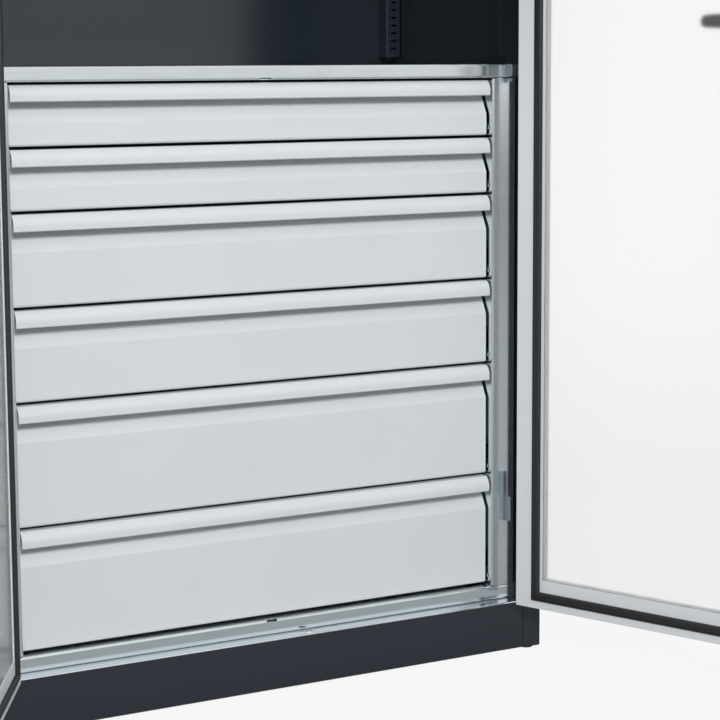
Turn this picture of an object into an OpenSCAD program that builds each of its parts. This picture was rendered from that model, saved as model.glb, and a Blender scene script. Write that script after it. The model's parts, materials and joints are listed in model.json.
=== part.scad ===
// Two-door cupboard with a six-drawer block in its lower half, doors standing open.
// Millimetres. Origin on the floor at the centre of the housing's footprint, +X right, +Y back, +Z up.

/* [Housing] */
// Overall width
overall_w = 930; // [800:5:1200]
// Overall height
overall_h = 1950; // [1700:10:2200]
// Depth from the side flanges' front faces to the rear
overall_d = 500; // [460:5:650]
// Sheet thickness of the housing and the drawer block
sheet = 1.5; // [1:0.1:2]
// Bend radius on the outside of a fold
fold_r = 3; // [2.2:0.1:4]
// Width of a side panel's front flange
flange_w = 34; // [28:1:45]
// Depth of the return behind a front flange
return_d = 60; // [45:1:80]
// Width of the inward flange at a side panel's rear edge
rear_flange_w = 20; // [12:1:30]
// Height of the floor panel above the ground
plinth_h = 82; // [70:1:120]
// Height of the roof's front fascia
fascia_h = 40; // [30:1:60]
// Height of the door stop behind the fascia
stop_h = 32; // [24:1:40]
// Gap between the housing's lower edge and the ground
foot_gap = 4; // [3:0.5:8]
// Radius of a levelling foot's pad
foot_r = 11; // [8:0.5:14]

/* [Shelves] */
// Width of a slotted upright
upright_w = 29; // [24:1:34]
// Depth of a slotted upright
upright_d = 30; // [20:1:36]
// Vertical pitch of the slots
slot_pitch = 13.5; // [12:0.5:30]
// Width of a slot
slot_w = 12; // [8:1:16]
// Height of a slot
slot_h = 3.5; // [2.5:0.5:5]
// Slot, counted from the lowest, that carries the lower shelf
lower_shelf_slot = 23; // [15:1:28]
// Slot, counted from the lowest, that carries the upper shelf
upper_shelf_slot = 48; // [40:1:58]
// Height of a shelf's folded edge
shelf_edge_h = 30; // [20:1:40]
// Space between a shelf and the housing's rear, sides and returns
shelf_room = 3; // [2:0.5:6]

/* [Drawer block] */
// Distance of the block's front frame behind the flanges
frame_setback = 25; // [24:0.5:32]
// Space between the block and the housing's returns
block_gap = 1; // [0.5:0.1:3]
// Height of the top rail
rail_h = 22; // [16:1:30]
// Height of the bottom rail
riser_h = 23; // [18:1:30]
// Width of a frame post's front face
post_face_w = 42.8; // [35:0.1:60]
// Depth of a frame post's walls
post_wall_d = 24; // [20:0.5:28]
// Height of a catch slot in a post's inner wall
catch_h = 5.5; // [3:0.5:10]
// Depth of a catch slot, front to back
catch_d = 6.5; // [3:0.5:8]
// Distance of the catch slots behind the frame's face
catch_setback = 7.5; // [5:0.5:10]
// Height of a catch slot above the lower edge of its drawer front
catch_rise = 9; // [6:0.5:20]
// Width of the alignment notches at the middle of the rails
notch_w = 17; // [10:1:25]
// Height of the alignment notches
notch_h = 3; // [2:0.5:5]
// Height of the open seams between posts and rails
seam_h = 1.2; // [0.6:0.1:2]
// Width of the seam at a post's inner corner
seam_w = 6; // [4:0.5:10]
// Width of the joint between the two seams above a post
joint_w = 13; // [8:0.5:20]
// Height of the lower edge of the fixing brackets
bracket_z = 202; // [160:1:400]
// Height of a fixing bracket
bracket_h = 37; // [25:1:60]
// Distance of the fixing brackets behind the housing's returns
bracket_setback = 6; // [3:1:20]
// Depth of a fixing bracket
bracket_d = 25; // [15:1:28]

/* [Drawers] */
// Height step of the drawer range
drawer_step = 45; // [40:1:50]
// Gap between two drawer fronts
front_gap = 4.5; // [3:0.5:6]
// Space above and below the stack of drawers
stack_room = 1.5; // [1:0.5:3]
// Space between a drawer front's end and a post
end_gap = 3; // [0.8:0.1:4]
// Distance of the drawers' flat fronts behind the frame's face
front_setback = 14; // [12.5:0.5:18]
// Sheet thickness of the drawers
drawer_sheet = 1.2; // [0.8:0.1:1.5]
// Radius of the grip's rounded nose
grip_r = 18; // [17:0.5:21]
// Distance that the grip stands in front of the flat front
grip_proud = 11.8; // [9:0.1:12]
// Height of the grip
grip_h = 23.5; // [22:0.5:30]
// Drop from the grip's upper edge to its upright face
grip_crest = 16; // [13:0.5:16.5]
// Depth of the finger recess behind the flat front
recess_d = 15; // [12:0.5:16]
// Drop from the top of a front to the end of the recess slope
slope_end = 53; // [46:0.5:58]
// Length of the turned-in lower edge of a front
hem_w = 10; // [6:1:13]
// Depth of a drawer tray, front to back
tray_d = 418; // [300:1:600]
// Height of a tray's lower edge above the lower edge of its front
tray_rise = 5; // [4:0.5:10]
// Distance of a tray's upper edge below the upper edge of its front
tray_drop = 12; // [8:0.5:14]

/* [Slides] */
// Space that a slide fills between tray and block wall
slide_space = 19.5; // [17:0.5:24]
// Height of a slide
slide_h = 46; // [42:1:50]
// Sheet thickness of a slide's outer channel
slide_sheet = 2; // [1.5:0.1:2.5]
// Thickness of the rolled ball races
race_t = 4; // [3:0.5:5]
// Running clearance between nested channels
slide_clear = 0.4; // [0.3:0.05:0.6]
// Height of a slide's lower edge above its tray's lower edge
slide_rise = 3; // [1:0.5:6]
// Distance of the slides' front ends behind the front of the tray
slide_setback = 5; // [2:0.5:15]

/* [Doors] */
// Angle at which the doors stand open
open_angle = 116; // [90:1:120]
// Thickness of a door without its seal
door_t = 18; // [16:0.5:20]
// Sheet thickness of a door
door_sheet = 1.2; // [1:0.1:1.6]
// Gap between a door and the floor, the fascia or the other door
door_gap = 2; // [1.5:0.5:4]
// Gap between a door's hinge edge and the housing
hinge_gap = 3; // [2.8:0.1:4]
// Plain border outside the seal, on the hinge side
seal_in_hinge = 28.5; // [26:0.5:40]
// Plain border outside the seal, on the other three sides
seal_in = 12.5; // [10:0.5:16]
// Width of the seal
seal_w = 15; // [10:0.5:16]
// Height of the seal above the door's inner face
seal_h = 6.5; // [5:0.1:6.7]
// Distance from the hinge edge to the window
window_in_hinge = 48; // [46:1:70]
// Distance from the free edge to the window
window_in_free = 72; // [70:1:110]
// Distance from the upper or lower edge to the window
window_in_end = 47; // [40:1:80]
// Thickness of the pane
pane_t = 4; // [3:0.5:5]
// Width of the pane that the door frame covers
pane_cover = 7; // [5:0.5:8]

/* [Hinges] */
// Distance of the hinge axis in front of the flanges
axis_front = 8; // [7.5:0.5:12]
// Distance of the hinge axis from the housing's return
axis_side = 2; // [1:0.1:3]
// Radius of a hinge pin
pin_r = 3; // [2.5:0.25:4]
// Radius of a hinge knuckle
knuckle_r = 6; // [5:0.25:6.5]
// Length of one knuckle
knuckle_h = 40; // [25:1:60]
// Radial clearance of pins and spindles
pin_clear = 0.05; // [0.02:0.01:0.09]
// Thickness of a hinge leaf
leaf_t = 2; // [1.5:0.1:2.5]
// Length of a hinge leaf
leaf_w = 38; // [25:1:55]
// Depth of a hinge plate behind the flanges' front faces
plate_d = 15; // [10:0.5:22]
// Height of the lowest hinge above the ground
hinge_low_z = 205; // [150:5:400]
// Distance of the highest hinge below the roof
hinge_high_drop = 330; // [200:10:450]

/* [Lock] */
// Height of the lever above the ground
lever_z = 1000; // [800:10:1200]
// Distance of the lower rod from the free edge of the door
rod_in = 55.5; // [50:0.5:58]
// Depth of the rods behind the door's front face
rod_depth = 12; // [10:0.5:12]
// Radius of a lock rod
rod_r = 4; // [3:0.5:4.5]
// Travel of a lock rod
rod_travel = 15; // [10:1:20]
// Clearance round a lock rod
rod_clear = 1.5; // [1:0.1:2]
// Length of the lever's arm
lever_len = 105; // [80:1:130]
// Radius of the lever's hub
hub_r = 16; // [14:0.5:20]
// Radius of the rounded end of the lever's arm
arm_end_r = 9; // [6:0.5:12]
// Distance of the lever's arm from the door
lever_stand = 34; // [28:1:45]
// Thickness of the lever's arm
lever_t = 11; // [9:0.5:14]
// Radius of the lever's spindle
spindle_r = 7; // [6:0.5:8]
// Radius of the rose that carries the spindle
rose_r = 26; // [22:1:28]
// Height of the rose
rose_h = 10; // [6:0.5:14]
// Radius of the key cylinder
key_r = 8; // [6:0.5:9]

/* [Hidden] */
$fn = 48;
bend_steps = 3;
grip_steps = 14;
// How far a cut runs past the face it opens
past = 1;

drawer_units = [2, 2, 3, 3, 4, 4];
drawer_count = len(drawer_units);

front_y = -overall_d / 2;
rear_y = overall_d / 2;
side_x = overall_w / 2;
return_x = side_x - flange_w;
side_gap = 0.5;
plinth_return = 20;
floor_turn_down = 14;
foot_x = side_x - flange_w / 2;
foot_ys = [front_y + flange_w / 2, rear_y - flange_w / 2];
frame_y = front_y + frame_setback;
flat_y = frame_y + front_setback;
post_rear_y = frame_y + post_wall_d;
block_half_w = return_x - block_gap;
post_x = block_half_w - post_face_w;
front_half_w = post_x - end_gap;
// The block's walls lap the posts' inner walls, and the slides' runners pass between the posts.
wall_lap = 12;
block_wall_x = post_x + sheet;

// The drawers' slots fill the block between its two rails.
stack_z = plinth_h + riser_h + stack_room;
function units_below(n) = n >= drawer_count ? 0 : drawer_units[n] + units_below(n + 1);
function slot_z(n) = stack_z + drawer_step * units_below(n);
function front_z(n) = slot_z(n) + front_gap / 2;
function front_h(n) = drawer_step * drawer_units[n - 1] - front_gap;
rail_z = stack_z + drawer_step * units_below(0) + stack_room;
cover_z = rail_z + rail_h;
cover_rear_room = 12;
cover_rear_y = rear_y - cover_rear_room;
rail_return = 12;

tray_y = flat_y + recess_d + drawer_sheet;
tray_half_w = block_wall_x - slide_space;
function tray_z(n) = front_z(n) + tray_rise;
function tray_h(n) = front_h(n) - tray_rise - tray_drop;
function slide_z(n) = tray_z(n) + slide_rise + slide_h / 2;

upright_x = side_x - sheet - upright_w;
upright_lift = 12;
upright_z = cover_z + upright_lift;
upright_top_room = 30;
upright_h = overall_h - sheet - upright_top_room - upright_z;
upright_rear_y = rear_y - 2 * sheet - upright_d;
upright_front_y = front_y + return_d;
slot_count = floor((upright_h - 2 * slot_pitch) / slot_pitch);

door_z = plinth_h + door_gap;
door_top = overall_h - fascia_h - door_gap;
door_h = door_top - door_z;
door_hinge_x = return_x - hinge_gap;
door_free_x = door_gap / 2;
door_w = door_hinge_x - door_free_x;
window_x0 = door_free_x + window_in_free;
window_x1 = door_hinge_x - window_in_hinge;
window_z0 = door_z + window_in_end;
window_z1 = door_top - window_in_end;
pane_y = front_y + door_t - door_sheet - pane_t;

axis_x = return_x - axis_side;
axis_y = front_y - axis_front;
hinge_zs = [hinge_low_z, (hinge_low_z + overall_h - hinge_high_drop) / 2, overall_h - hinge_high_drop];

rod_y = front_y + rod_depth;
lower_rod_x = door_free_x + rod_in;
pinion_r = rod_travel / (PI / 2);
spindle_x = lower_rod_x - pinion_r - rod_r - slide_clear;
upper_rod_x = spindle_x - pinion_r - rod_r - slide_clear;

anthracite = [0.20, 0.22, 0.24];
light_grey = [0.80, 0.82, 0.83];
zinc = [0.60, 0.64, 0.66];
rubber_black = [0.17, 0.17, 0.18];

// Bent sheet: a path of corners, each rounded, thickened to one side.
function unit(v) = v / norm(v);
function left_of(v) = [-v.y, v.x];
function bend(a, b, c, r) =
    let(u = unit(a - b), v = unit(c - b), half = acos(u * v) / 2)
    let(centre = b + unit(u + v) * r / sin(half), s = b + u * r / tan(half) - centre)
    let(e = b + v * r / tan(half) - centre, start = atan2(s.y, s.x))
    let(turn = (atan2(e.y, e.x) - start + 540) % 360 - 180)
    [for (i = [0:bend_steps]) let(a = start + turn * i / bend_steps) centre + r * [cos(a), sin(a)]];
function bent(path, r) = [
    path[0],
    for (i = [1:len(path) - 2]) each bend(path[i - 1], path[i], path[i + 1], r),
    path[len(path) - 1]
];
function beside(path, t) = [
    for (i = [0:len(path) - 1])
        let(d0 = unit(i > 0 ? path[i] - path[i - 1] : path[1] - path[0]))
        let(d1 = i < len(path) - 1 ? unit(path[i + 1] - path[i]) : d0)
        let(m = left_of(d0) + left_of(d1))
        path[i] + 2 * t * m / (m * m)
];
function backwards(list) = [for (i = [len(list) - 1:-1:0]) list[i]];
module sheet_outline(path, t) polygon(concat(path, backwards(beside(path, t))));

// Extrusions along X and Y of outlines drawn in (y, z) and (x, z).
module along_x(half) translate([-half, 0, 0]) rotate([90, 0, 90]) linear_extrude(2 * half) children();
module along_y(y0, y1) translate([0, y1, 0]) rotate([90, 0, 0]) linear_extrude(y1 - y0) children();
module box(low, high) translate(low) cube(high - low);
module post_y(y0, y1, r) translate([0, y0, 0]) rotate([-90, 0, 0]) cylinder(r = r, h = y1 - y0);
module both_sides() {
    children();
    mirror([1, 0, 0]) children();
}

// Housing

module side_panel() {
    difference() {
        union() {
            translate([0, 0, foot_gap]) linear_extrude(overall_h - sheet - foot_gap) sheet_outline(bent([
                [return_x, front_y + return_d], [return_x, front_y], [side_x, front_y],
                [side_x, rear_y], [side_x - rear_flange_w, rear_y]
            ], fold_r), sheet);
            // plates that the levelling feet screw into
            for (y = foot_ys) box([return_x + sheet / 2, y - flange_w / 2 + sheet / 2, foot_gap],
                [side_x - sheet / 2, y + flange_w / 2 - sheet / 2, foot_gap + sheet]);
        }
        for (y = foot_ys) translate([foot_x, y, 0]) cylinder(r = foot_r / 2 + pin_clear, h = plinth_h / 2);
        // the flange's lower outer corner is cut round
        translate([side_x, front_y, foot_gap]) rotate([-90, 0, 0]) difference() {
            cube([2 * fold_r, 2 * fold_r, flange_w / 2], center = true);
            translate([-fold_r, -fold_r, 0]) cylinder(r = fold_r, h = flange_w, center = true);
        }
    }
}
module left_side_panel() color(anthracite) mirror([1, 0, 0]) side_panel();
module right_side_panel() color(anthracite) side_panel();

module rear_panel() color(anthracite)
    box([-side_x + fold_r + side_gap, rear_y - 2 * sheet, foot_gap + sheet],
        [side_x - fold_r - side_gap, rear_y - sheet, overall_h - sheet]);

module roof_panel() color(anthracite) {
    difference() {
        along_x(return_x - side_gap) sheet_outline(bent([
            [frame_y, overall_h - fascia_h - stop_h], [frame_y, overall_h - fascia_h],
            [front_y, overall_h - fascia_h], [front_y, overall_h], [rear_y, overall_h]
        ], fold_r), -sheet);
        translate([upper_rod_x, rod_y, door_top]) cylinder(r = rod_r + rod_clear, h = fascia_h / 2);
    }
    both_sides() box([return_x - 2 * side_gap, front_y, overall_h - sheet], [side_x, rear_y, overall_h]);
}

// The floor ends at the returns in front, and runs between the side walls behind them.
module floor_panel() color(zinc) difference() {
    union() {
        along_x(return_x - side_gap) sheet_outline(bent([
            [front_y + sheet, plinth_h - floor_turn_down], [front_y + sheet, plinth_h],
            [rear_y - 2 * sheet, plinth_h]
        ], fold_r), -sheet);
        both_sides() box([return_x - 2 * side_gap, front_y + return_d + side_gap, plinth_h - sheet],
            [side_x - sheet, rear_y - 2 * sheet, plinth_h]);
    }
    translate([lower_rod_x, rod_y, plinth_h / 2]) cylinder(r = rod_r + rod_clear, h = plinth_h);
}

module front_plinth() color(anthracite)
    along_x(return_x - side_gap) sheet_outline(bent([
        [front_y + plinth_return, foot_gap], [front_y, foot_gap], [front_y, plinth_h - fold_r / 2]
    ], fold_r), -sheet);

foot_taper = 1;
module levelling_feet() color(rubber_black) both_sides()
    for (y = foot_ys) translate([foot_x, y, 0]) {
        cylinder(r1 = foot_r, r2 = foot_r - foot_taper, h = foot_gap);
        cylinder(r = foot_r / 2, h = plinth_h / 2);
    }

// Shelves

module slotted_upright() difference() {
    linear_extrude(upright_h) sheet_outline(bent([
        [0, upright_d], [0, 0], [upright_w, 0], [upright_w, upright_d]
    ], fold_r), sheet);
    along_y(-past, sheet + past) for (i = [1:slot_count])
        translate([(upright_w - slot_w) / 2, i * slot_pitch]) square([slot_w, slot_h]);
}
module shelf_uprights() color(anthracite) both_sides() {
    translate([upright_x, upright_rear_y, upright_z]) slotted_upright();
    translate([upright_x, upright_front_y + upright_d, upright_z]) mirror([0, 1, 0]) slotted_upright();
}

clip_in = 14;
clip_t = 2;
slot_clear = 0.3;
module shelf_clip(slot) {
    // a tongue through the slot, and a seat under the shelf's corner
    x0 = upright_x + (upright_w - slot_w) / 2 + slot_clear;
    z0 = upright_z + slot * slot_pitch;
    box([x0, upright_rear_y - clip_in, z0],
        [x0 + slot_w - 2 * slot_clear, upright_rear_y + sheet + clip_t, z0 + clip_t]);
}
module shelf_clips() color(zinc) both_sides() for (slot = [lower_shelf_slot, upper_shelf_slot]) {
    shelf_clip(slot);
    translate([0, upright_front_y + upright_d + upright_rear_y, 0]) mirror([0, 1, 0]) shelf_clip(slot);
}

module shelf(slot) {
    half = side_x - sheet - shelf_room;
    y0 = upright_front_y + upright_d + shelf_room;
    y1 = upright_rear_y - shelf_room;
    z = upright_z + slot * slot_pitch + clip_t;
    difference() {
        box([-half, y0, z], [half, y1, z + shelf_edge_h]);
        box([-half + sheet, y0 + sheet, z - past], [half - sheet, y1 - sheet, z + shelf_edge_h - sheet]);
    }
    // lower edges turned in along the front and the rear, which sit on the clips
    for (y = [y0, y1 - clip_in]) box([-half, y, z], [half, y + clip_in, z + sheet]);
}
module upper_shelf() color(anthracite) shelf(upper_shelf_slot);
module lower_shelf() color(anthracite) shelf(lower_shelf_slot);

// Drawer block

post_z = plinth_h + riser_h;
notch_d = 6;
seam_d = fold_r + sheet;
module seam_cut(x0, x1, z) box([x0, frame_y - past, z], [x1, frame_y + seam_d, z + seam_h]);
module frame_post() difference() {
    translate([0, 0, post_z]) linear_extrude(rail_z - post_z) sheet_outline(bent([
        [post_x, post_rear_y], [post_x, frame_y], [block_half_w, frame_y], [block_half_w, post_rear_y]
    ], fold_r), sheet);
    // slots for the catches that hold the drawers shut
    for (n = [1:drawer_count]) translate([post_x - past, frame_y + catch_setback, front_z(n) + catch_rise])
        cube([sheet + 2 * past, catch_d, catch_h]);
    // open seams at the corners of the welded frame
    seam_cut(post_x - past, post_x + seam_w, post_z);
    seam_cut(post_x - past, post_x + seam_w, rail_z - seam_h);
    seam_cut(post_x + seam_w + joint_w, block_half_w + past, rail_z - seam_h);
}
module left_frame_post() color(zinc) mirror([1, 0, 0]) frame_post();
module right_frame_post() color(zinc) frame_post();

module block_cover() color(zinc) difference() {
    union() {
        along_x(block_half_w) sheet_outline(bent([
            [frame_y + rail_return, rail_z], [frame_y, rail_z], [frame_y, cover_z], [cover_rear_y, cover_z]
        ], fold_r), -sheet);
        both_sides() box([block_half_w - sheet, post_rear_y + sheet, rail_z],
            [block_half_w, cover_rear_y, cover_z - sheet / 2]);
    }
    box([-notch_w / 2, frame_y - past, rail_z - past], [notch_w / 2, frame_y + notch_d, rail_z + notch_h]);
}

module block_bottom_rail() color(zinc) difference() {
    along_x(block_half_w) sheet_outline(bent([
        [post_rear_y, plinth_h], [frame_y, plinth_h], [frame_y, post_z], [post_rear_y, post_z]
    ], fold_r), -sheet);
    box([-notch_w / 2, frame_y - past, post_z - notch_h], [notch_w / 2, frame_y + notch_d, post_z + past]);
}

module block_wall() {
    box([block_wall_x, post_rear_y, plinth_h], [block_wall_x + sheet, cover_rear_y, cover_z - sheet]);
    box([block_wall_x, post_rear_y - wall_lap, post_z], [block_wall_x + sheet, post_rear_y + past, rail_z]);
}
module left_block_wall() color(zinc) mirror([1, 0, 0]) block_wall();
module right_block_wall() color(zinc) block_wall();

// Channels that tie the block's walls to the housing's sides, behind the returns.
bracket_x0 = block_wall_x + sheet;
bracket_x1 = side_x - sheet;
bracket_y = front_y + return_d + bracket_setback;
module block_brackets() color(zinc) both_sides() translate([0, 0, bracket_z]) linear_extrude(bracket_h)
    sheet_outline(bent([
        [bracket_x0, bracket_y + bracket_d], [bracket_x0, bracket_y],
        [bracket_x1, bracket_y], [bracket_x1, bracket_y + bracket_d]
    ], fold_r), sheet);

// Telescopic slides, drawn as (distance in from the block wall, height) and nested channel in channel.

module channel_outline(u0, u1, half, web, race, open_to_wall) difference() {
    translate([u0, -half]) square([u1 - u0, 2 * half]);
    translate([u0 + (open_to_wall ? -past : web), -half + race])
        square([u1 - u0 - web + past, 2 * (half - race)]);
}
// How far the outer channels and the runners stop short of the tray
channel_short = 5;
runner_short = 4;
cabinet_channel_w = slide_space - channel_short;
runner_end_u = slide_space - runner_short;
runner_half = slide_h / 2 - slide_sheet - slide_clear;
member_half = runner_half - race_t - slide_clear;
runner_u = slide_sheet + slide_clear;
member_u = runner_u + slide_sheet + slide_clear;
module at_slides(n) both_sides() translate([block_wall_x, 0, slide_z(n)]) mirror([1, 0, 0])
    along_y(tray_y + slide_setback, tray_y + tray_d) children();
module cabinet_slides() color(zinc) for (n = [1:drawer_count]) at_slides(n)
    channel_outline(0, cabinet_channel_w, slide_h / 2, slide_sheet, slide_sheet, false);
module slide_runners(n) color(zinc) at_slides(n)
    channel_outline(runner_u, runner_end_u, runner_half, slide_sheet, race_t, false);
module drawer_slides(n) color(zinc) at_slides(n)
    channel_outline(member_u, slide_space, member_half, slide_sheet, race_t, true);

// Drawers

// Front profile as (distance in front of the flat front, drop from the top), from the grip's lip to the hem.
// The path runs on the outside of the grip, and so along the hidden side of the recess and the flat front.
lip_w = 5;
lip_r = 1.5 * drawer_sheet;
recess_end = grip_h + 2;
back_u = -recess_d - drawer_sheet;
flat_u = -drawer_sheet;
lip_end = [grip_proud - lip_w, grip_h];
function grip_nose() =
    let(high = -asin(grip_crest / grip_r))
    [for (i = [0:grip_steps]) let(a = high * i / grip_steps)
        [grip_proud - grip_r + grip_r * cos(a), grip_crest + grip_r * sin(a)]];
function front_path(h) = concat(
    [lip_end],
    bend(lip_end, [grip_proud, grip_h], [grip_proud, grip_crest], lip_r),
    grip_nose(),
    bend(grip_nose()[grip_steps], [back_u, 0], [back_u, grip_h], fold_r),
    bend([back_u, 0], [back_u, recess_end], [flat_u, slope_end], fold_r),
    bend([back_u, recess_end], [flat_u, slope_end], [flat_u, h], fold_r),
    bend([flat_u, slope_end], [flat_u, h - drawer_sheet], [-hem_w, h - drawer_sheet], fold_r),
    [[-hem_w, h - drawer_sheet]]
);
module drawer_front(n) color(light_grey) along_x(front_half_w) translate([flat_y, front_z(n) + front_h(n)])
    sheet_outline([for (p = front_path(front_h(n))) [-p.x, -p.y]], -drawer_sheet);

module drawer_tray(n) color(light_grey) difference() {
    box([-tray_half_w, tray_y, tray_z(n)], [tray_half_w, tray_y + tray_d, tray_z(n) + tray_h(n)]);
    box([-tray_half_w + drawer_sheet, tray_y + drawer_sheet, tray_z(n) + drawer_sheet],
        [tray_half_w - drawer_sheet, tray_y + tray_d - drawer_sheet, tray_z(n) + tray_h(n) + past]);
}

// Doors, drawn closed on the right-hand side and swung open about the hinge axis

module swung_open()
    translate([axis_x, axis_y, 0]) rotate([0, 0, open_angle]) translate([-axis_x, -axis_y, 0]) children();
module frame_ring(x0, x1, z0, z1, in_free, in_hinge, in_end) difference() {
    translate([x0, z0]) square([x1 - x0, z1 - z0]);
    translate([x0 + in_free, z0 + in_end]) square([x1 - x0 - in_free - in_hinge, z1 - z0 - 2 * in_end]);
}
module door_ring(in_free, in_hinge, in_end)
    frame_ring(door_free_x, door_hinge_x, door_z, door_top, in_free, in_hinge, in_end);
module window_ring(out)
    frame_ring(window_x0 - out, window_x1 + out, window_z0 - out, window_z1 + out, out, out, out);

module door_skin() {
    along_y(front_y, front_y + door_sheet) door_ring(window_in_free, window_in_hinge, window_in_end);
    along_y(front_y, front_y + door_t - door_sheet) door_ring(door_sheet, door_sheet, door_sheet);
    along_y(front_y, pane_y) window_ring(door_sheet);
}
module left_door_skin() color(light_grey) mirror([1, 0, 0]) swung_open() door_skin();
module right_door_skin() color(light_grey) swung_open() difference() {
    door_skin();
    for (at = [[lower_rod_x, door_z], [upper_rod_x, door_top]])
        translate([at.x, rod_y, at.y]) cylinder(r = rod_r + slide_clear, h = 3 * door_sheet, center = true);
    translate([spindle_x, 0, lever_z])
        post_y(front_y - past, front_y + door_sheet + past, spindle_r + rod_clear);
}

module door_liner() along_y(front_y + door_t - door_sheet, front_y + door_t)
    door_ring(window_in_free, window_in_hinge, window_in_end);
module left_door_liner() color(light_grey) mirror([1, 0, 0]) swung_open() door_liner();
module right_door_liner() color(light_grey) swung_open() door_liner();

module door_pane() box([window_x0 - pane_cover, pane_y, window_z0 - pane_cover],
    [window_x1 + pane_cover, pane_y + pane_t, window_z1 + pane_cover]);
module left_door_pane() color("white") mirror([1, 0, 0]) swung_open() door_pane();
module right_door_pane() color("white") swung_open() door_pane();

// Seal: a flat foot with a narrower bulb along its inner side.
module door_seal() {
    x0 = door_free_x + seal_in;
    x1 = door_hinge_x - seal_in_hinge;
    foot_h = seal_h / 2;
    bulb_in = seal_w / 3;
    face_y = front_y + door_t;
    along_y(face_y, face_y + foot_h)
        frame_ring(x0, x1, door_z + seal_in, door_top - seal_in, seal_w, seal_w, seal_w);
    along_y(face_y, face_y + seal_h) frame_ring(x0 + bulb_in, x1 - bulb_in, door_z + seal_in + bulb_in,
        door_top - seal_in - bulb_in, seal_w - bulb_in, seal_w - bulb_in, seal_w - bulb_in);
}
module left_door_seal() color(rubber_black) mirror([1, 0, 0]) swung_open() door_seal();
module right_door_seal() color(rubber_black) swung_open() door_seal();

// Hinges: a pin through a lower knuckle on the housing and an upper knuckle on the door

module knuckle(z) translate([axis_x, axis_y, z]) cylinder(r = knuckle_r, h = knuckle_h - slide_clear);
module pin_bore(z)
    translate([axis_x, axis_y, z - past]) cylinder(r = pin_r + pin_clear, h = knuckle_h + 2 * past);
module hinge_plates() color(zinc) both_sides() for (z = hinge_zs) difference() {
    union() {
        knuckle(z);
        box([return_x - leaf_t, axis_y, z], [return_x, front_y + plate_d, z + knuckle_h - slide_clear]);
    }
    pin_bore(z);
}
pin_head_h = 2.5;
pin_head_in = 1;
pin_head_r = knuckle_r - pin_head_in;
module hinge_pins() color(zinc) both_sides() for (z = hinge_zs) translate([axis_x, axis_y, z]) {
    cylinder(r = pin_r, h = 2 * knuckle_h);
    translate([0, 0, -pin_head_h]) cylinder(r = pin_head_r, h = pin_head_h);
}
leaf_x = axis_x - knuckle_r / 2;
module hinge_leaves() for (z = hinge_zs) translate([0, 0, knuckle_h]) difference() {
    union() {
        knuckle(z);
        box([axis_x - knuckle_r, axis_y, z], [leaf_x, front_y, z + knuckle_h - slide_clear]);
        box([door_hinge_x - leaf_w, front_y - leaf_t, z], [leaf_x, front_y, z + knuckle_h - slide_clear]);
    }
    pin_bore(z);
}
module left_hinge_leaves() color(zinc) mirror([1, 0, 0]) swung_open() hinge_leaves();
module right_hinge_leaves() color(zinc) swung_open() hinge_leaves();

// Lock: the lever's spindle carries a pinion that drives the two rods apart

module at_spindle() swung_open() translate([spindle_x, 0, lever_z]) children();
rose_y = front_y - rose_h;
arm_y = front_y - lever_stand;
arm_front_y = arm_y - lever_t;
key_proud = 1;
key_slot_half_w = 1;
key_slot_d = 5;
// The arm tapers from the hub to its rounded end, along the tangents of both circles.
module lever_arm() {
    end_x = lever_len - arm_end_r;
    tangent = acos((hub_r - arm_end_r) / end_x);
    upper = [cos(tangent), sin(tangent)];
    lower = [upper.x, -upper.y];
    polygon([hub_r * upper, hub_r * lower, [end_x, 0] + arm_end_r * lower, [end_x, 0] + arm_end_r * upper]);
    translate([end_x, 0]) circle(r = arm_end_r);
}
module lever_handle() color(rubber_black) at_spindle() difference() {
    union() {
        post_y(arm_front_y, rose_y - slide_clear, hub_r);
        post_y(rose_y - past, rod_y + rod_r, spindle_r);
        post_y(rod_y - rod_r, rod_y + rod_r, pinion_r);
        along_y(arm_front_y, arm_y) lever_arm();
    }
    post_y(arm_front_y - past, arm_y, key_r + pin_clear);
}
module lever_rose() color(rubber_black) at_spindle() difference() {
    post_y(rose_y, front_y, rose_r);
    post_y(rose_y - past, front_y + past, spindle_r + pin_clear);
}
module key_cylinder() color(zinc) at_spindle() difference() {
    post_y(arm_front_y - key_proud, arm_y - slide_clear, key_r);
    box([-key_slot_half_w, arm_front_y - key_proud - past, -key_r / 2],
        [key_slot_half_w, arm_front_y + key_slot_d, key_r / 2]);
}

rod_overlap = pinion_r;
module upper_rod() color(zinc) swung_open() translate([upper_rod_x, rod_y, lever_z - rod_overlap])
    cylinder(r = rod_r, h = door_top - lever_z + rod_overlap);
module lower_rod() color(zinc) swung_open() translate([lower_rod_x, rod_y, door_z])
    cylinder(r = rod_r, h = lever_z + rod_overlap - door_z);

left_side_panel();
right_side_panel();
rear_panel();
roof_panel();
floor_panel();
front_plinth();
levelling_feet();
shelf_uprights();
upper_shelf();
lower_shelf();
shelf_clips();
left_frame_post();
right_frame_post();
block_cover();
block_bottom_rail();
left_block_wall();
right_block_wall();
block_brackets();
cabinet_slides();
drawer_front(1);  // drawer_front_1
drawer_front(2);  // drawer_front_2
drawer_front(3);  // drawer_front_3
drawer_front(4);  // drawer_front_4
drawer_front(5);  // drawer_front_5
drawer_front(6);  // drawer_front_6
drawer_tray(1);  // drawer_tray_1
drawer_tray(2);  // drawer_tray_2
drawer_tray(3);  // drawer_tray_3
drawer_tray(4);  // drawer_tray_4
drawer_tray(5);  // drawer_tray_5
drawer_tray(6);  // drawer_tray_6
drawer_slides(1);  // drawer_slides_1
drawer_slides(2);  // drawer_slides_2
drawer_slides(3);  // drawer_slides_3
drawer_slides(4);  // drawer_slides_4
drawer_slides(5);  // drawer_slides_5
drawer_slides(6);  // drawer_slides_6
slide_runners(1);  // slide_runners_1
slide_runners(2);  // slide_runners_2
slide_runners(3);  // slide_runners_3
slide_runners(4);  // slide_runners_4
slide_runners(5);  // slide_runners_5
slide_runners(6);  // slide_runners_6
left_door_skin();
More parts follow.
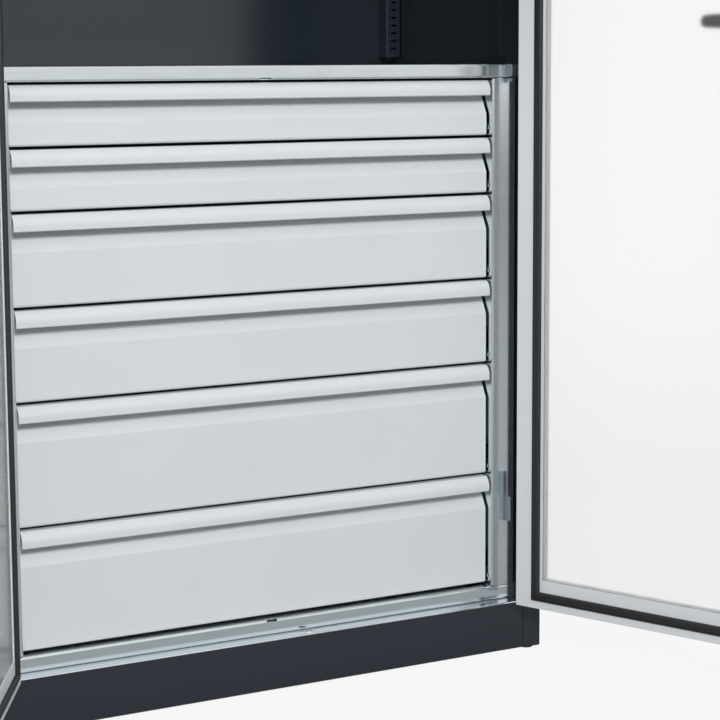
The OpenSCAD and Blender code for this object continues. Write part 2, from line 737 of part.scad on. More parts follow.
right_door_skin();
left_door_liner();
right_door_liner();
left_door_pane();
right_door_pane();
left_door_seal();
right_door_seal();
hinge_plates();
hinge_pins();
left_hinge_leaves();
right_hinge_leaves();
lever_handle();
lever_rose();
key_cylinder();
upper_rod();
lower_rod();
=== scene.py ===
"""Looks of a steel cupboard with a drawer block.

Powder-coated sheet, a zinc-plated block frame, rubber seals and frosted acrylic panes.
"""

import json
import math

import bmesh
import bpy
from mathutils import Euler, Matrix, Quaternion, Vector


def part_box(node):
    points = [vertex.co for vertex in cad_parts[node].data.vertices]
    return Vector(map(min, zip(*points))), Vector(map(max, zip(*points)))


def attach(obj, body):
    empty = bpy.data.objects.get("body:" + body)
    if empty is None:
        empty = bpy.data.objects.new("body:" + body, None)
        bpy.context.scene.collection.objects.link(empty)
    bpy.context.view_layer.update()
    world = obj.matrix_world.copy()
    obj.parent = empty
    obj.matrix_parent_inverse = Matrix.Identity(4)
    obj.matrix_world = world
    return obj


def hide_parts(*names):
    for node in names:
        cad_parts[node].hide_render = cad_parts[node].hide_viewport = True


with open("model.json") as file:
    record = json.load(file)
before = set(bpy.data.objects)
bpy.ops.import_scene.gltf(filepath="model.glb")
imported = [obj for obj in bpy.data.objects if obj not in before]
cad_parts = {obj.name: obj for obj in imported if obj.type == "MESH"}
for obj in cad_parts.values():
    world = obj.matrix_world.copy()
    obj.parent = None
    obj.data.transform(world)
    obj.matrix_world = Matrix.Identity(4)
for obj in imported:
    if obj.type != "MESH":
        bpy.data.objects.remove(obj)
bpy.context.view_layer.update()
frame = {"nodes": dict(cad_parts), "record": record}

MM = 0.001

# Camera: at the photograph's angle, at about half the cupboard's height and to its left

CAMERA_PLACE_MM = (-1134.9, -2736.1, 940.2)
CAMERA_YAW_DEG = 27.15
CAMERA_PITCH_DEG = 6.83
CAMERA_ROLL_DEG = -0.31
IMAGE_PX = 720
FOCAL_PX = 1869.4
# The middle of the picture lies this far below the lens axis
FRAME_DROP_PX = 72
SENSOR_MM = 36


def place_camera():
    data = bpy.data.cameras.new("camera")
    data.sensor_width = SENSOR_MM
    data.lens = SENSOR_MM * FOCAL_PX / IMAGE_PX
    data.shift_y = -FRAME_DROP_PX / IMAGE_PX
    camera = bpy.data.objects.new("camera", data)
    camera.location = Vector(CAMERA_PLACE_MM) * MM
    level = Euler((math.radians(90 - CAMERA_PITCH_DEG), 0, math.radians(-CAMERA_YAW_DEG))).to_quaternion()
    camera.rotation_mode = "QUATERNION"
    camera.rotation_quaternion = level @ Quaternion((0, 0, 1), math.radians(CAMERA_ROLL_DEG))
    bpy.context.scene.collection.objects.link(camera)
    bpy.context.scene.camera = camera


place_camera()


# Helpers for materials

def linear(hex_colour):
    """An sRGB hex colour as linear RGBA."""
    parts = [int(hex_colour[i:i + 2], 16) / 255 for i in (1, 3, 5)]
    return [c / 12.92 if c <= 0.04045 else ((c + 0.055) / 1.055) ** 2.4 for c in parts] + [1.0]


def shifted(colour, share):
    """A linear colour made darker or lighter by a share."""
    return [c * share for c in colour[:3]] + [1.0]


def add_node(tree, kind, settings=None, links=None):
    """Adds a node, sets its properties and inputs by name, and links other nodes' sockets to its inputs."""
    node = tree.nodes.new(kind)
    for key, value in (settings or {}).items():
        if isinstance(key, str) and hasattr(node, key):
            setattr(node, key, value)
        else:
            node.inputs[key].default_value = value
    for key, socket in (links or {}).items():
        tree.links.new(socket, node.inputs[key])
    return node


def new_material(name):
    """An empty node material, its tree and the output node."""
    material = bpy.data.materials.new(name)
    material.use_nodes = True
    material.node_tree.nodes.clear()
    output = add_node(material.node_tree, "ShaderNodeOutputMaterial")
    return material, material.node_tree, output


# Stage: a pale floor under soft, even light

WHITE = linear("#FFFFFF")
# The world lights the cupboard with this share of the white that it shows
WORLD_LIGHT = 0.57
FLOOR_SIDE_M = 60
FLOOR_COLOUR = "#A9ABAD"
# Share of the floor's look near the cupboard that takes light and shadow
FLOOR_SHADOW_SHARE = 0.10
# Distances between which the floor fades to plain white
FLOOR_FADE_M = (1.5, 5.0)
# Share of plain white in the floor's reflections
FLOOR_GLEAM = 0.15
SOFT_BOX_PLACE_M = (-1.2, -5.4, 3.5)
SOFT_BOX_TARGET_M = (0, -0.2, 0.7)
SOFT_BOX_SIDE_M = 1.2
SOFT_BOX_WATTS = 225


def light_world():
    world = bpy.data.worlds.new("studio")
    world.use_nodes = True
    tree = world.node_tree
    tree.nodes.clear()
    path = add_node(tree, "ShaderNodeLightPath")
    seen = add_node(tree, "ShaderNodeMath", {"operation": "MAXIMUM"},
                    {0: path.outputs["Is Camera Ray"], 1: path.outputs["Is Glossy Ray"]})
    shown = add_node(tree, "ShaderNodeMath", {"operation": "MAXIMUM"},
                     {0: seen.outputs[0], 1: path.outputs["Is Transmission Ray"]})
    strength = add_node(tree, "ShaderNodeMapRange", {"To Min": WORLD_LIGHT, "To Max": 1.0},
                        {"Value": shown.outputs[0]})
    white = add_node(tree, "ShaderNodeBackground", {"Color": WHITE}, {"Strength": strength.outputs[0]})
    add_node(tree, "ShaderNodeOutputWorld", links={"Surface": white.outputs[0]})
    bpy.context.scene.world = world


def lay_floor():
    """A floor that the camera sees almost white, with the cupboard's soft shadow on it."""
    bpy.ops.mesh.primitive_plane_add(size=FLOOR_SIDE_M)
    floor = bpy.context.object
    floor.name = "floor"
    material, tree, output = new_material("pale_floor")
    path = add_node(tree, "ShaderNodeLightPath")
    lit = add_node(tree, "ShaderNodeBsdfDiffuse", {"Color": linear(FLOOR_COLOUR)})
    white = add_node(tree, "ShaderNodeEmission", {"Color": WHITE, "Strength": 1.0})
    seen = add_node(tree, "ShaderNodeMath", {"operation": "MAXIMUM"},
                    {0: path.outputs["Is Camera Ray"], 1: path.outputs["Is Transmission Ray"]})
    place = add_node(tree, "ShaderNodeTexCoord")
    reach = add_node(tree, "ShaderNodeVectorMath", {"operation": "LENGTH"}, {0: place.outputs["Object"]})
    fade_near, fade_far = FLOOR_FADE_M
    fade = add_node(tree, "ShaderNodeMapRange", {
        "From Min": fade_near, "From Max": fade_far, "To Min": 1 - FLOOR_SHADOW_SHARE, "To Max": 1.0},
        {"Value": reach.outputs["Value"]})
    share = add_node(tree, "ShaderNodeMath", {"operation": "MULTIPLY"},
                     {0: seen.outputs[0], 1: fade.outputs[0]})
    gleam = add_node(tree, "ShaderNodeMath", {"operation": "MULTIPLY", 1: FLOOR_GLEAM},
                     {0: path.outputs["Is Glossy Ray"]})
    white_share = add_node(tree, "ShaderNodeMath", {"operation": "MAXIMUM"},
                           {0: share.outputs[0], 1: gleam.outputs[0]})
    mixed = add_node(tree, "ShaderNodeMixShader", links={
        0: white_share.outputs[0], 1: lit.outputs[0], 2: white.outputs[0]})
    tree.links.new(mixed.outputs[0], output.inputs["Surface"])
    floor.data.materials.append(material)


def hang_soft_box():
    """One soft lamp high in front of the cupboard, aimed at the drawers."""
    data = bpy.data.lights.new("front_soft_box", "AREA")
    data.size = SOFT_BOX_SIDE_M
    data.energy = SOFT_BOX_WATTS
    lamp = bpy.data.objects.new("front_soft_box", data)
    lamp.location = SOFT_BOX_PLACE_M
    lamp.rotation_mode = "QUATERNION"
    aim = Vector(SOFT_BOX_TARGET_M) - Vector(SOFT_BOX_PLACE_M)
    lamp.rotation_quaternion = aim.to_track_quat("-Z", "Y")
    bpy.context.scene.collection.objects.link(lamp)


light_world()
lay_floor()
hang_soft_box()


# Finishes: each pattern's scale is one over the size of its features in metres

# Orange peel of the powder: about 1 mm on the real sheet, coarser here so that it shows
PEEL_MM = 5
PEEL_STRENGTH, PEEL_DEPTH_MM = 0.06, 0.3
# Slow drift of the powder's thickness across a sheet, and what it does to roughness and colour
DRIFT_MM = 170
DRIFT_ROUGHNESS, DRIFT_SHADE = 0.04, 0.94
# Rolling lines of the zinc, length and width: a few tenths of a millimetre wide in truth, coarser so that they show
ROLLED_LINE_MM = (80, 1.6)
ROLLED_SHADE, ROLLED_STRENGTH, ROLLED_DEPTH_MM = 0.85, 0.08, 0.1
# Patches where the zinc has dulled
DULL_PATCH_MM = 55
DULL_ROUGHNESS = 0.06
# Dusty bloom on rubber
BLOOM_MM = 17
BLOOM_STRENGTH = 0.1
# Grain of the tool that moulds the lever: about 0.2 mm in truth, coarser so that it shows
GRAIN_MM = 1.5
GRAIN_STRENGTH = 0.4
# Both kinds of speck are paler than the polymer and stand out from it by this depth
SPECK_SHADE, SPECK_DEPTH_MM = 1.5, 0.2
POLYMER_IOR = 1.5
# Drawing lines of the acrylic, width and length: finer in truth, coarser so that they show
DRAWN_LINE_MM = (2.8, 310)
DRAWN_STRENGTH, DRAWN_DEPTH_MM = 0.05, 0.1
ACRYLIC_IOR = 1.49


def per_metre(size_mm):
    """The texture scale at which one feature has this size."""
    return 1 / (size_mm * MM)


def powder_coat(name, colour, roughness, ior):
    """Powder-coated steel sheet: an even colour, a soft gloss that drifts slowly, and a faint orange peel."""
    material, tree, output = new_material(name)
    place = add_node(tree, "ShaderNodeTexCoord")
    peel = add_node(tree, "ShaderNodeTexNoise", {"Scale": per_metre(PEEL_MM), "Detail": 2.0},
                    {"Vector": place.outputs["Object"]})
    drift = add_node(tree, "ShaderNodeTexNoise", {"Scale": per_metre(DRIFT_MM), "Detail": 3.0},
                     {"Vector": place.outputs["Object"]})
    gloss = add_node(tree, "ShaderNodeMapRange", {
        "To Min": roughness - DRIFT_ROUGHNESS, "To Max": roughness + DRIFT_ROUGHNESS},
        {"Value": drift.outputs["Fac"]})
    base = linear(colour)
    shade = add_node(tree, "ShaderNodeMix", {"data_type": "RGBA", "A": base, "B": shifted(base, DRIFT_SHADE)},
                     {"Factor": drift.outputs["Fac"]})
    bump = add_node(tree, "ShaderNodeBump", {"Strength": PEEL_STRENGTH, "Distance": PEEL_DEPTH_MM * MM},
                    {"Height": peel.outputs["Fac"]})
    skin = add_node(tree, "ShaderNodeBsdfPrincipled", {"IOR": ior}, {
        "Base Color": shade.outputs["Result"], "Roughness": gloss.outputs[0], "Normal": bump.outputs[0]})
    tree.links.new(skin.outputs[0], output.inputs["Surface"])
    return material


def zinc_plate(name, colour, roughness):
    """Galvanised sheet: bright metal with fine rolling lines and cloudy patches of duller zinc."""
    material, tree, output = new_material(name)
    place = add_node(tree, "ShaderNodeTexCoord")
    along, across = (per_metre(size) for size in ROLLED_LINE_MM)
    stretched = add_node(tree, "ShaderNodeMapping", {"Scale": (along, across, across)},
                         {"Vector": place.outputs["Object"]})
    lines = add_node(tree, "ShaderNodeTexNoise", {"Scale": 1.0, "Detail": 3.0}, {"Vector": stretched.outputs[0]})
    patches = add_node(tree, "ShaderNodeTexNoise", {"Scale": per_metre(DULL_PATCH_MM), "Detail": 4.0},
                       {"Vector": place.outputs["Object"]})
    gloss = add_node(tree, "ShaderNodeMapRange", {
        "To Min": roughness - DULL_ROUGHNESS, "To Max": roughness + DULL_ROUGHNESS},
        {"Value": patches.outputs["Fac"]})
    base = linear(colour)
    shade = add_node(tree, "ShaderNodeMix", {"data_type": "RGBA", "A": base, "B": shifted(base, ROLLED_SHADE)},
                     {"Factor": lines.outputs["Fac"]})
    bump = add_node(tree, "ShaderNodeBump", {"Strength": ROLLED_STRENGTH, "Distance": ROLLED_DEPTH_MM * MM},
                    {"Height": lines.outputs["Fac"]})
    skin = add_node(tree, "ShaderNodeBsdfPrincipled", {"Metallic": 1.0}, {
        "Base Color": shade.outputs["Result"], "Roughness": gloss.outputs[0], "Normal": bump.outputs[0]})
    tree.links.new(skin.outputs[0], output.inputs["Surface"])
    return material


def black_polymer(name, colour, roughness, speck_mm, relief):
    """Extruded rubber or moulded nylon: dull black with paler specks, a wide dusty bloom or a fine moulded grain."""
    material, tree, output = new_material(name)
    place = add_node(tree, "ShaderNodeTexCoord")
    specks = add_node(tree, "ShaderNodeTexNoise", {"Scale": per_metre(speck_mm), "Detail": 4.0},
                      {"Vector": place.outputs["Object"]})
    base = linear(colour)
    shade = add_node(tree, "ShaderNodeMix", {"data_type": "RGBA", "A": base, "B": shifted(base, SPECK_SHADE)},
                     {"Factor": specks.outputs["Fac"]})
    bump = add_node(tree, "ShaderNodeBump", {"Strength": relief, "Distance": SPECK_DEPTH_MM * MM},
                    {"Height": specks.outputs["Fac"]})
    skin = add_node(tree, "ShaderNodeBsdfPrincipled", {"IOR": POLYMER_IOR, "Roughness": roughness}, {
        "Base Color": shade.outputs["Result"], "Normal": bump.outputs[0]})
    tree.links.new(skin.outputs[0], output.inputs["Surface"])
    return material


def frosted_acrylic(name, colour, roughness):
    """Extruded acrylic, frosted: clear, but it blurs what stands behind it, with faint upright drawing lines."""
    material, tree, output = new_material(name)
    place = add_node(tree, "ShaderNodeTexCoord")
    across, along = (per_metre(size) for size in DRAWN_LINE_MM)
    upright = add_node(tree, "ShaderNodeMapping", {"Scale": (across, across, along)},
                       {"Vector": place.outputs["Object"]})
    lines = add_node(tree, "ShaderNodeTexNoise", {"Scale": 1.0, "Detail": 2.0}, {"Vector": upright.outputs[0]})
    bump = add_node(tree, "ShaderNodeBump", {"Strength": DRAWN_STRENGTH, "Distance": DRAWN_DEPTH_MM * MM},
                    {"Height": lines.outputs["Fac"]})
    skin = add_node(tree, "ShaderNodeBsdfPrincipled", {
        "IOR": ACRYLIC_IOR, "Roughness": roughness, "Transmission Weight": 1.0, "Base Color": linear(colour)},
        {"Normal": bump.outputs[0]})
    tree.links.new(skin.outputs[0], output.inputs["Surface"])
    return material


FINISHES = {
    # Dark blue-grey housing, glossy enough to mirror pale things softly
    "housing_paint": powder_coat("anthracite_powder_coat", "#1C242D", roughness=0.2, ior=1.58),
    # Light grey drawers with a satin sheen along the rolled grips
    "drawer_paint": powder_coat("light_grey_powder_coat", "#D4D8DA", roughness=0.38, ior=1.5),
    # Doors a little duller than the drawers, and paler: painted light that makes up for the lamp light their inner
    # faces miss
    "door_paint": powder_coat("door_grey_coat_with_painted_light", "#DFE3E5", roughness=0.42, ior=1.5),
    # Cool, bright frame, slides and fittings that give blurred mirror images
    "zinc": zinc_plate("galvanised_sheet", "#DEE5E9", roughness=0.14),
    # Panes that let the light through and hide what stands behind
    "pane": frosted_acrylic("frosted_acrylic", "#FBFBFB", roughness=0.22),
    # A soft black line around each door
    "seal": black_polymer("extruded_rubber", "#151517", 0.55, BLOOM_MM, BLOOM_STRENGTH),
    # Dull black feet, a little greyer than the seals
    "foot": black_polymer("moulded_rubber", "#1A1A1B", 0.60, BLOOM_MM, BLOOM_STRENGTH),
    # Black lever and rose whose sheen is broken up by a fine grain
    "lever_plastic": black_polymer("glass_filled_nylon", "#1B1B1D", 0.45, GRAIN_MM, GRAIN_STRENGTH),
}


def coat(piece, slot):
    """Gives a piece the finish of a material slot and no other."""
    piece.data.materials.clear()
    piece.data.materials.append(FINISHES[slot])


for part in frame["record"]["subparts"]:
    coat(frame["nodes"][part["node"]], part["material_slot"])


# Modelling helpers: sizes and places in millimetres

# Places this close together count as the same
NEAR = 0.1
# A face looks along an axis when its normal reaches this share of it
FACING = 0.9
# Cutting shapes reach this far out of what they cut
CUT_PAST = 2
# Faces that meet at less than this are shaded as one curve
CURVE_DEG = 35


def corners_mm(node):
    """A CAD node's lowest and highest corners at rest."""
    low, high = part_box(node)
    return Vector(low) / MM, Vector(high) / MM


def take(piece):
    """Selects one piece alone and makes it the active one."""
    bpy.ops.object.select_all(action="DESELECT")
    piece.select_set(True)
    bpy.context.view_layer.objects.active = piece


def settle(name):
    """Names a fresh primitive and puts its place, turn and size into its mesh."""
    bpy.ops.object.transform_apply(location=True, rotation=True, scale=True)
    piece = bpy.context.object
    piece.name = piece.data.name = name
    return piece


def add_cuboid(name, low, high):
    bpy.ops.object.select_all(action="DESELECT")
    low, high = Vector(low) * MM, Vector(high) * MM
    bpy.ops.mesh.primitive_cube_add(size=1, location=(low + high) / 2, scale=high - low)
    return settle(name)


def add_disc(name, x, z, y_front, y_rear, radius, sides=48):
    """A cylinder along Y between two depths."""
    bpy.ops.object.select_all(action="DESELECT")
    bpy.ops.mesh.primitive_cylinder_add(
        vertices=sides, radius=radius * MM, depth=(y_rear - y_front) * MM,
        location=Vector((x, (y_front + y_rear) / 2, z)) * MM, rotation=(math.pi / 2, 0, 0))
    return settle(name)


def open_for_editing(piece):
    take(piece)
    bpy.ops.object.mode_set(mode="EDIT")
    bpy.ops.mesh.select_all(action="SELECT")


def close_editing():
    bpy.ops.object.mode_set(mode="OBJECT")


def pick_faces(piece, test):
    """Selects the faces whose centre, in millimetres, and normal pass the test."""
    bpy.ops.mesh.select_mode(type="FACE")
    bpy.ops.mesh.select_all(action="DESELECT")
    mesh = bmesh.from_edit_mesh(piece.data)
    for face in mesh.faces:
        face.select_set(test(face.calc_center_median() / MM, face.normal))
    bmesh.update_edit_mesh(piece.data)


def pick_edges(piece, test):
    """Selects the edges whose two ends, in millimetres, pass the test."""
    bpy.ops.mesh.select_mode(type="EDGE")
    bpy.ops.mesh.select_all(action="DESELECT")
    mesh = bmesh.from_edit_mesh(piece.data)
    for edge in mesh.edges:
        edge.select_set(test(*(vert.co / MM for vert in edge.verts)))
    bmesh.update_edit_mesh(piece.data)


def cut_across(place, normal):
    """Cuts the whole piece along a plane and keeps both sides."""
    bpy.ops.mesh.select_all(action="SELECT")
    bpy.ops.mesh.bisect(plane_co=Vector(place) * MM, plane_no=normal)


def dish_front(piece, rim, depth):
    """Sinks the piece's front face inside a rim."""
    open_for_editing(piece)
    pick_faces(piece, lambda centre, normal: normal.y < -FACING)
    bpy.ops.mesh.inset(thickness=rim * MM)
    bpy.ops.transform.translate(value=(0, depth * MM, 0))
    close_editing()


def finish_with(piece, kind, **settings):
    """Adds a modifier and applies it."""
    modifier = piece.modifiers.new(kind.lower(), kind)
    for key, value in settings.items():
        setattr(modifier, key, value)
    take(piece)
    bpy.ops.object.modifier_apply(modifier=modifier.name)


def shade_curves():
    """Shades the active piece smooth along its curves and leaves its sharp edges."""
    bpy.ops.object.shade_smooth_by_angle(angle=math.radians(CURVE_DEG))


def break_edges(piece, width, steps=2, angle=40):
    """Rounds the piece's sharp edges and shades its curves smooth."""
    finish_with(piece, "BEVEL", width=width * MM, segments=steps, limit_method="ANGLE",
                angle_limit=math.radians(angle), harden_normals=False)
    shade_curves()


def combine(piece, other, operation):
    """Adds another body's shape to the piece or cuts it out, and removes that body."""
    finish_with(piece, "BOOLEAN", operation=operation, solver="EXACT", object=other)
    bpy.data.objects.remove(other)


def join_into(piece, others):
    take(piece)
    for other in others:
        other.select_set(True)
    bpy.ops.object.join()


def copy_moved(piece, name, step):
    """A copy with its own mesh, moved by a step in millimetres."""
    copy = piece.copy()
    copy.data = piece.data.copy()
    copy.name = copy.data.name = name
    bpy.context.scene.collection.objects.link(copy)
    copy.location = Vector(step) * MM
    take(copy)
    bpy.ops.object.transform_apply(location=True, rotation=False, scale=False)
    return copy


def hang(piece, slot, body, *nodes):
    """Gives a finished piece its finish, the body that it moves with and the CAD nodes that it stands for."""
    coat(piece, slot)
    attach(piece, body)
    if nodes:
        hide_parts(*nodes)


# Doors: their pieces are modelled on the closed right-hand door and swung open

OPEN_DEG = 116
HINGE_X, HINGE_Y = 429, -258
DOOR_EDGE_X = 428
DOOR_FREE_X = 1
DOOR_OUTER_Y = -250
DOOR_INNER_Y = -232


def swing_open(piece, left=False):
    """Turns a piece of the closed right-hand door to the open door, on the left-hand side if asked."""
    turn = Matrix.Rotation(math.radians(OPEN_DEG), 4, "Z")
    hinge = Matrix.Translation(Vector((HINGE_X, HINGE_Y, 0)) * MM)
    place = hinge @ turn @ hinge.inverted()
    if left:
        place = Matrix.Scale(-1, 4, (1, 0, 0)) @ place
    piece.matrix_world = place
    take(piece)
    bpy.ops.object.transform_apply(location=True, rotation=True, scale=True)
    open_for_editing(piece)
    bpy.ops.mesh.normals_make_consistent(inside=False)
    close_editing()


# Drawer trays: folded from one sheet, with turned-in rims and slits for dividers in the side walls

TRAY_SHEET = 1.2
TRAY_EDGE_R = 0.35
RIM_W = 8
SLIT_W = 3
SLIT_PITCH = 25
# The slits start above the slides, this far over the tray's floor, and end this far below its rim
SLIT_LOW = 51
SLIT_DROP = 7
# Drawers of the same height
EQUAL_DRAWERS = ((1, 2), (3, 4), (5, 6))


def fold_tray(name, node):
    low, high = corners_mm(node)
    tray = add_cuboid(name, low, high)
    open_for_editing(tray)
    pick_faces(tray, lambda centre, normal: normal.z > FACING)
    bpy.ops.mesh.delete(type="FACE")
    slit_low, slit_high = low.z + SLIT_LOW, high.z - SLIT_DROP
    for z in (slit_low, slit_high):
        cut_across((0, 0, z), (0, 0, 1))
    slit_count = int((high.y - low.y) / SLIT_PITCH) - 1
    first_y = (low.y + high.y - (slit_count - 1) * SLIT_PITCH) / 2
    slit_ys = [first_y + i * SLIT_PITCH for i in range(slit_count)]
    for y in slit_ys:
        cut_across((0, y - SLIT_W / 2, 0), (0, 1, 0))
        cut_across((0, y + SLIT_W / 2, 0), (0, 1, 0))
    pick_faces(tray, lambda centre, normal: abs(normal.x) > FACING and slit_low < centre.z < slit_high
               and any(abs(centre.y - y) < SLIT_W / 2 for y in slit_ys))
    bpy.ops.mesh.delete(type="FACE")
    pick_edges(tray, lambda a, b: min(a.z, b.z) > high.z - NEAR)
    middle = (low + high) / 2
    half = (high - low) / 2
    bpy.ops.mesh.extrude_edges_move()
    bpy.ops.transform.resize(value=(1 - RIM_W / half.x, 1 - RIM_W / half.y, 1), center_override=middle * MM)
    close_editing()
    finish_with(tray, "SOLIDIFY", thickness=TRAY_SHEET * MM, offset=-1, use_even_offset=True)
    break_edges(tray, TRAY_EDGE_R)
    return tray


def place_trays():
    for upper, lower in EQUAL_DRAWERS:
        tray = fold_tray(f"folded_tray_{upper}", f"drawer_tray_{upper}")
        drop = corners_mm(f"drawer_tray_{lower}")[0] - corners_mm(f"drawer_tray_{upper}")[0]
        twin = copy_moved(tray, f"folded_tray_{lower}", drop)
        hang(tray, "drawer_paint", f"drawer_{upper}", f"drawer_tray_{upper}")
        hang(twin, "drawer_paint", f"drawer_{lower}", f"drawer_tray_{lower}")


place_trays()


# Door seals: a flat foot with a rounded bulb along its inner side

# Distance of the seal from the door's edge, on the hinge side and on the free side
SEAL_IN_HINGE = 28.5
SEAL_IN = 12.5
SEAL_W = 15
SEAL_H = 6.5
FOOT_H = SEAL_H / 3
BULB_IN = 5
BULB_R, BULB_STEPS = 3.6, 5
FOOT_R, FOOT_STEPS = 1.2, 3
# Every edge along the seal is longer than this
LONG_RUN = 300


def form_seal(name):
    """The seal of the closed right-hand door: a frame whose upper face is inset and drawn up into the bulb."""
    low, high = corners_mm("right_door_seal")
    x0, x1, z0, z1 = DOOR_FREE_X + SEAL_IN, DOOR_EDGE_X - SEAL_IN_HINGE, low.z, high.z
    foot_top, bulb_top = DOOR_INNER_Y + FOOT_H, DOOR_INNER_Y + SEAL_H

    def from_edge(point):
        return min(point.x - x0, x1 - point.x, point.z - z0, z1 - point.z)

    def long_edge(a, b, height):
        level = min(a.y, b.y) > height - NEAR and max(a.y, b.y) < height + NEAR
        return level and (a - b).length > LONG_RUN

    seal = add_cuboid(name, (x0, DOOR_INNER_Y, z0), (x1, foot_top, z1))
    open_for_editing(seal)
    pick_faces(seal, lambda centre, normal: normal.y > FACING)
    bpy.ops.mesh.inset(thickness=BULB_IN * MM)
    bpy.ops.mesh.inset(thickness=(SEAL_W - BULB_IN) * MM)
    pick_faces(seal, lambda centre, normal: normal.y < -FACING)
    bpy.ops.mesh.inset(thickness=SEAL_W * MM)
    pick_faces(seal, lambda centre, normal: abs(normal.y) > FACING and from_edge(centre) > SEAL_W)
    bpy.ops.mesh.bridge_edge_loops()
    pick_faces(seal, lambda centre, normal: normal.y > FACING and from_edge(centre) > BULB_IN)
    bpy.ops.mesh.extrude_region_move(TRANSFORM_OT_translate={"value": (0, (SEAL_H - FOOT_H) * MM, 0)})
    pick_edges(seal, lambda a, b: long_edge(a, b, bulb_top))
    bpy.ops.mesh.bevel(offset=BULB_R * MM, segments=BULB_STEPS)
    pick_edges(seal, lambda a, b: long_edge(a, b, foot_top) and max(from_edge(a), from_edge(b)) < NEAR)
    bpy.ops.mesh.bevel(offset=FOOT_R * MM, segments=FOOT_STEPS)
    close_editing()
    shade_curves()
    return seal


def place_seals():
    for side in ("left", "right"):
        seal = form_seal(f"bulb_seal_{side}")
        swing_open(seal, left=side == "left")
        hang(seal, "seal", f"{side}_door", f"{side}_door_seal")


place_seals()


# Lock: a moulded lever, its rose and the key cylinder, outside on the right-hand door

SPINDLE_X, SPINDLE_Z = 42.55, 1000
LEVER_FRONT_Y, LEVER_REAR_Y = -295, -284
LEVER_STEPS = 5
HUB_R = 16
HUB_EDGE_R = 2.5
# Room between the turning hub and the rose
HUB_ROOM = 0.3
ARM_LEN = 105
# The arm starts inside the hub, this far from the spindle's axis, and stands back from the hub's front
ARM_START = 4
ARM_BACK = 0.3
ARM_ROOT_R, ARM_END_R = HUB_R - 2, 9
ARM_TIP_R, ARM_TIP_STEPS = ARM_END_R - 1, 8
ARM_EDGE_R = 3.2
ROSE_FRONT_Y = -260
ROSE_R, ROSE_SIDES = 26, 64
ROSE_RIM, ROSE_DISH = 6, 1.2
ROSE_EDGE_R, ROSE_STEPS, ROSE_EDGE_DEG = 1.6, 4, 15
KEY_R = 8
KEY_PROUD = 1
KEY_DEPTH = 10
KEY_RIM, KEY_DISH = 2, 0.5
KEY_EDGE_R, KEY_EDGE_DEG = 0.3, 30
KEY_SLOT_W, KEY_SLOT_H, KEY_SLOT_DEPTH = 2, 8, 5
# Room around the key cylinder and behind it
BORE_ROOM, BORE_ROOM_REAR = 0.1, 0.5


def mould_lever():
    hub = add_disc("moulded_lever", SPINDLE_X, SPINDLE_Z, LEVER_FRONT_Y, ROSE_FRONT_Y - HUB_ROOM, HUB_R)
    arm_end_x = SPINDLE_X + ARM_LEN
    arm = add_cuboid("lever_arm", (SPINDLE_X + ARM_START, LEVER_FRONT_Y + ARM_BACK, SPINDLE_Z - ARM_ROOT_R),
                     (arm_end_x, LEVER_REAR_Y, SPINDLE_Z + ARM_ROOT_R))
    open_for_editing(arm)
    pick_faces(arm, lambda centre, normal: normal.x > FACING)
    bpy.ops.transform.resize(value=(1, 1, ARM_END_R / ARM_ROOT_R),
                             center_override=Vector((arm_end_x, 0, SPINDLE_Z)) * MM)
    pick_edges(arm, lambda a, b: min(a.x, b.x) > arm_end_x - NEAR and abs(a.z - b.z) < NEAR)
    bpy.ops.mesh.bevel(offset=ARM_TIP_R * MM, segments=ARM_TIP_STEPS)
    close_editing()
    break_edges(arm, ARM_EDGE_R, steps=LEVER_STEPS)
    break_edges(hub, HUB_EDGE_R, steps=LEVER_STEPS)
    combine(hub, arm, "UNION")
    bore = add_disc("key_bore", SPINDLE_X, SPINDLE_Z, LEVER_FRONT_Y - CUT_PAST,
                    LEVER_FRONT_Y + KEY_DEPTH + BORE_ROOM_REAR, KEY_R + BORE_ROOM)
    combine(hub, bore, "DIFFERENCE")
    shade_curves()
    swing_open(hub)
    hang(hub, "lever_plastic", "lever", "lever_handle")


def turn_rose():
    rose = add_disc("turned_rose", SPINDLE_X, SPINDLE_Z, ROSE_FRONT_Y, DOOR_OUTER_Y, ROSE_R, sides=ROSE_SIDES)
    dish_front(rose, ROSE_RIM, ROSE_DISH)
    break_edges(rose, ROSE_EDGE_R, steps=ROSE_STEPS, angle=ROSE_EDGE_DEG)
    swing_open(rose)
    hang(rose, "lever_plastic", "right_door", "lever_rose")


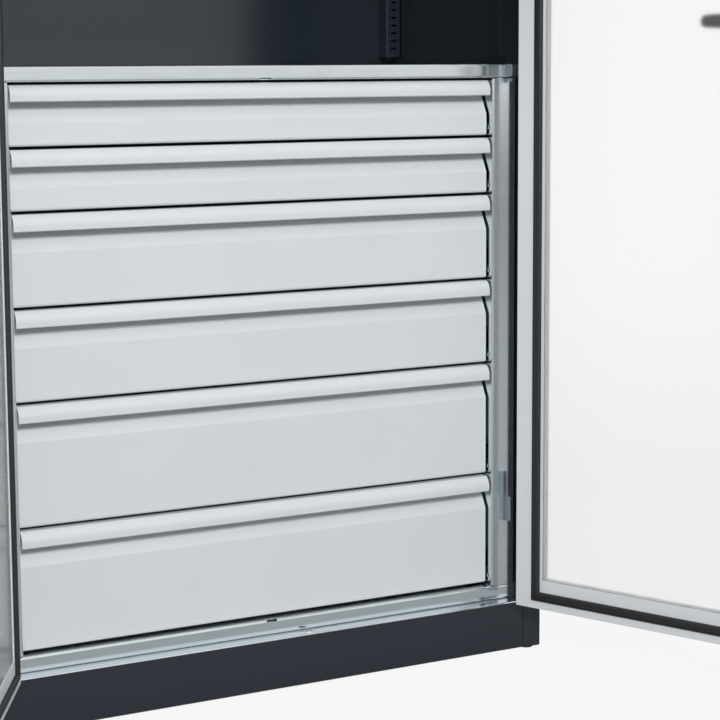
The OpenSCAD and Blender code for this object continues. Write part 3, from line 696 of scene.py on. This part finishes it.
def turn_key_cylinder():
    front = LEVER_FRONT_Y - KEY_PROUD
    key = add_disc("slotted_key_cylinder", SPINDLE_X, SPINDLE_Z, front, LEVER_FRONT_Y + KEY_DEPTH, KEY_R)
    dish_front(key, KEY_RIM, KEY_DISH)
    key_slot = add_cuboid(
        "key_slot", (SPINDLE_X - KEY_SLOT_W / 2, front - CUT_PAST, SPINDLE_Z - KEY_SLOT_H / 2),
        (SPINDLE_X + KEY_SLOT_W / 2, front + KEY_SLOT_DEPTH, SPINDLE_Z + KEY_SLOT_H / 2))
    combine(key, key_slot, "DIFFERENCE")
    break_edges(key, KEY_EDGE_R, angle=KEY_EDGE_DEG)
    swing_open(key)
    hang(key, "zinc", "key", "key_cylinder")


mould_lever()
turn_rose()
turn_key_cylinder()


# Hinge screws: two button heads with a hexagon socket on each leaf

LEAF_FACE_Y = -252
LEAF_H = 40
LEAF_SCREW_X = 401
LEAF_SCREW_RISE = (11, 29)
SCREW_R, SCREW_SIDES = 4.5, 32
SCREW_H = 1.6
SCREW_EDGE_R, SCREW_STEPS = 1.1, 4
SOCKET_R, SOCKET_SIDES = 1.8, 6
# Metal left under the socket
SOCKET_FLOOR = 0.4


def turn_screw(name, z):
    crown_y = LEAF_FACE_Y - SCREW_H
    screw = add_disc(name, LEAF_SCREW_X, z, crown_y, LEAF_FACE_Y, SCREW_R, sides=SCREW_SIDES)
    socket = add_disc("screw_socket", LEAF_SCREW_X, z, crown_y - CUT_PAST, LEAF_FACE_Y - SOCKET_FLOOR, SOCKET_R,
                      sides=SOCKET_SIDES)
    combine(screw, socket, "DIFFERENCE")
    open_for_editing(screw)
    pick_edges(screw, lambda a, b: max(a.y, b.y) < crown_y + NEAR
               and math.hypot(a.x - LEAF_SCREW_X, a.z - z) > SCREW_R - NEAR)
    bpy.ops.mesh.bevel(offset=SCREW_EDGE_R * MM, segments=SCREW_STEPS)
    close_editing()
    shade_curves()
    return screw


def place_hinge_screws():
    leaf_low, leaf_high = corners_mm("right_hinge_leaves")
    leaf_zs = (leaf_low.z, (leaf_low.z + leaf_high.z - LEAF_H) / 2, leaf_high.z - LEAF_H)
    first_z, *other_zs = (z + rise for z in leaf_zs for rise in LEAF_SCREW_RISE)
    for side in ("left", "right"):
        screw = turn_screw(f"hinge_screws_{side}", first_z)
        join_into(screw, [copy_moved(screw, "hinge_screw", (0, 0, z - first_z)) for z in other_zs])
        swing_open(screw, left=side == "left")
        hang(screw, "zinc", f"{side}_door")


place_hinge_screws()

bpy.context.scene.view_settings.view_transform = "Standard"
